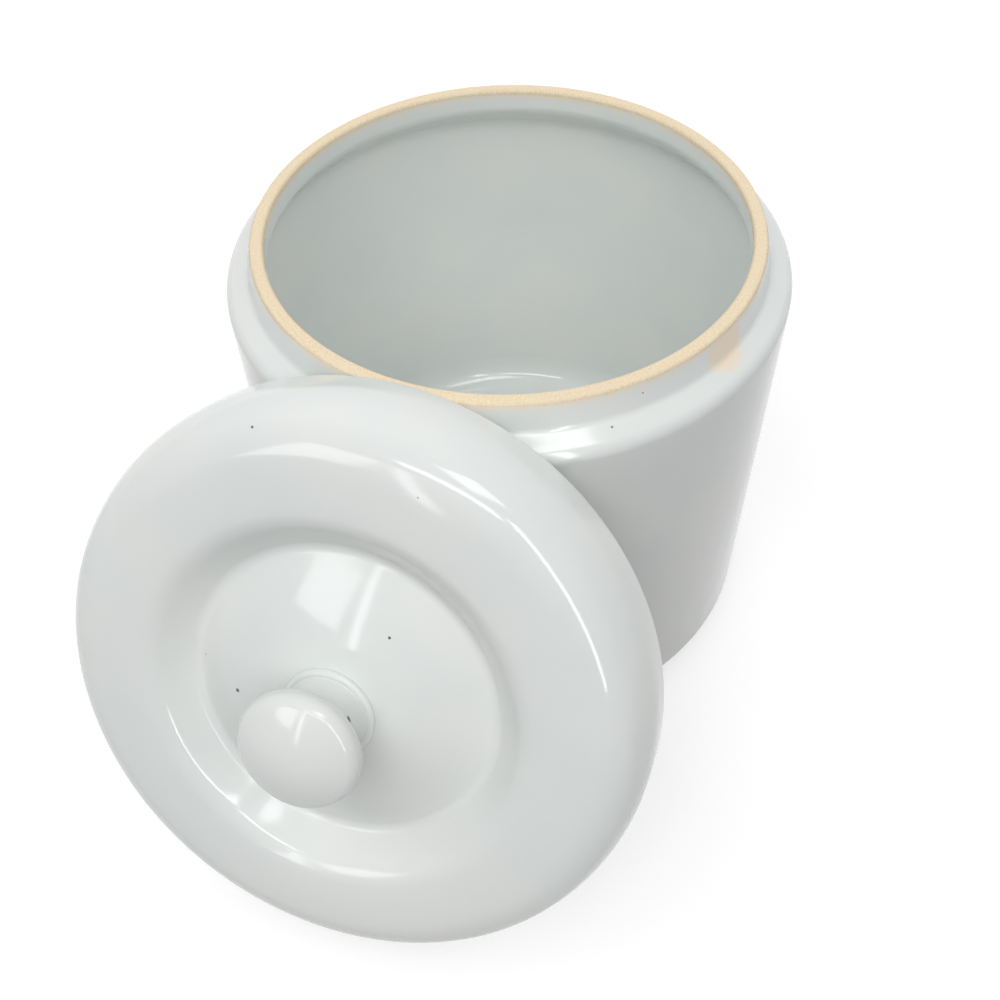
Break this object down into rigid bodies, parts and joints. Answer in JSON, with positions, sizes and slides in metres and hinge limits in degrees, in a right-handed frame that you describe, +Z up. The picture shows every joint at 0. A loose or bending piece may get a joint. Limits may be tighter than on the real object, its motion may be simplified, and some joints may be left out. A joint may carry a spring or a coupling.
{
  "type": "garlic keeper",
  "caption": "Glazed stoneware jar with a bare flat rim and a knobbed cap lid that leans against it, taken off.",
  "frame": {"origin": "centre of the jar's flat base, on the table", "axes": "+Z up along the jar's axis, -Y towards the leaning lid, +X to the right of someone who faces the lid"},
  "size_m": [0.1341, 0.1952, 0.1202],
  "materials": {
    "glazed_stoneware": "glossy white glaze"
  },
  "bodies": {
    "jar": {"jar": "glazed_stoneware"},
    "lid": {"lid_cap": "glazed_stoneware", "lid_knob": "glazed_stoneware"}
  },
  "joints": [
    {"name": "lid_lift", "type": "slide", "parent": "jar", "child": "lid", "axis": [0, -0.8926, 0.4509], "range_m": [0, 0.12]}
  ]
}
